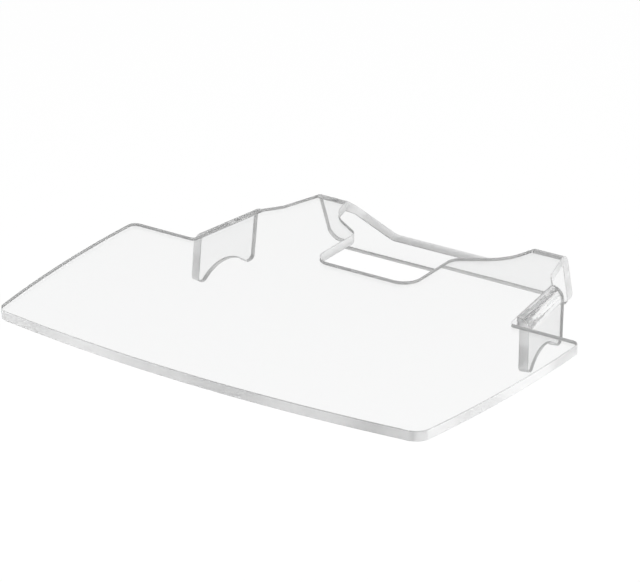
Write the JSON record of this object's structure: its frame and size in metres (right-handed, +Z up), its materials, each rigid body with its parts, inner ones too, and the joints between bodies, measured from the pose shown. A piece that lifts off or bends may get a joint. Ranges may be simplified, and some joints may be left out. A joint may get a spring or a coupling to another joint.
{
  "type": "bike desk tray",
  "caption": "Clear acrylic desk tray that straddles a handlebar on two arched legs, with a notched neck and a turned-down rear bar.",
  "frame": {"origin": "midway between the tops of the two saddle arches, on the tray's centre plane", "axes": "+X to the user's right, +Y away from the user, +Z up"},
  "size_m": [0.4844, 0.4155, 0.0585],
  "materials": {
    "clear_acrylic": "polished and see-through"
  },
  "bodies": {
    "root": {"deck": "clear_acrylic", "left_saddle_leg": "clear_acrylic", "right_saddle_leg": "clear_acrylic", "rear_hook_bar": "clear_acrylic"}
  },
  "joints": []
}
